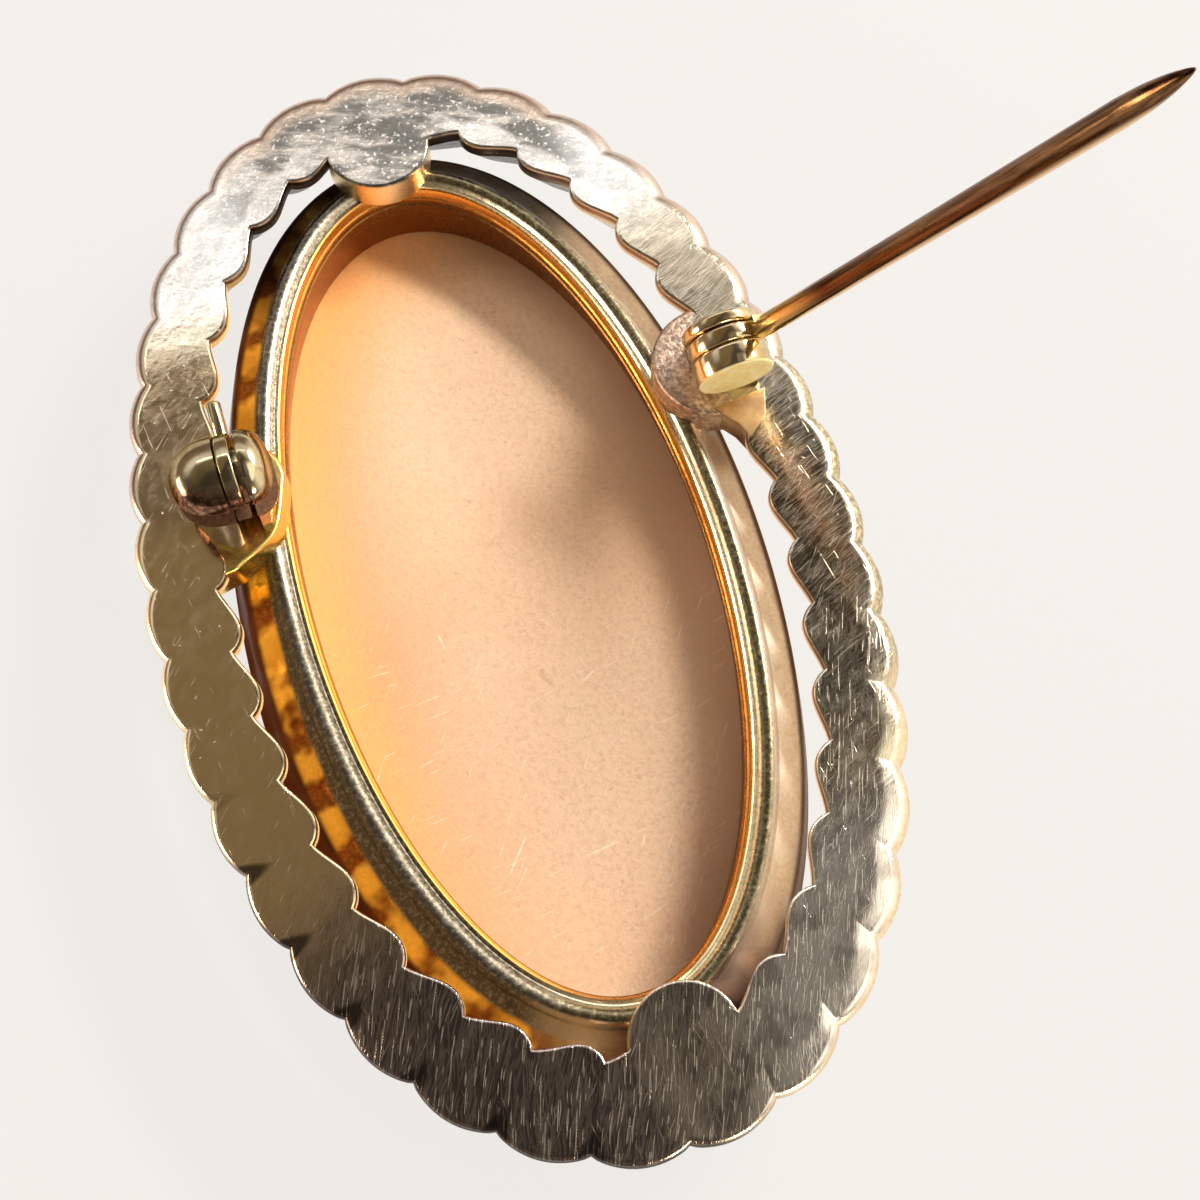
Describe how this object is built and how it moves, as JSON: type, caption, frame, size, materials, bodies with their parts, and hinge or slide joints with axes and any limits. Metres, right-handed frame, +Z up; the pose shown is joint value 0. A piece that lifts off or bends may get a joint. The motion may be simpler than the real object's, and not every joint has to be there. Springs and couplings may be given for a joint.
{
  "type": "oval rope-border brooch",
  "caption": "Oval brooch with a fluted rope border, a bezel round a hollow-backed shell plaque, a hinged pin and a ball catch with a turning ring; shown with the pin open.",
  "frame": {"origin": "middle of the shell's flat front table, which the brooch lies on, face down", "axes": "+Y along the oval's long axis, +X towards the pin's hinge, +Z up out of the back of the brooch"},
  "size_m": [0.0351, 0.0491, 0.0286],
  "materials": {
    "frame_gold": "polished yellow gold with fine file scratches on the back",
    "shell": "matt peach shell",
    "rivet_gold": "polished yellow gold",
    "pin_gold": "polished red gold",
    "ring_gold": "polished yellow gold"
  },
  "bodies": {
    "mount": {"rope_frame": "frame_gold", "shell_plaque": "shell", "hinge_rivet": "rivet_gold"},
    "pin": {"pin_stem": "pin_gold"},
    "ring": {"catch_ring": "ring_gold"}
  },
  "joints": [
    {"name": "pin_swing", "type": "hinge", "parent": "mount", "child": "pin", "pos_m": [0.01115, 0.00487, 0.00819], "axis": [0, 0.9885, 0.1513], "range_deg": [-113.4, 12]},
    {"name": "ring_turn", "type": "hinge", "parent": "mount", "child": "ring", "pos_m": [-0.01, 0.005, 0.00835], "axis": [1, 0, 0], "range_deg": [0, 90]}
  ]
}
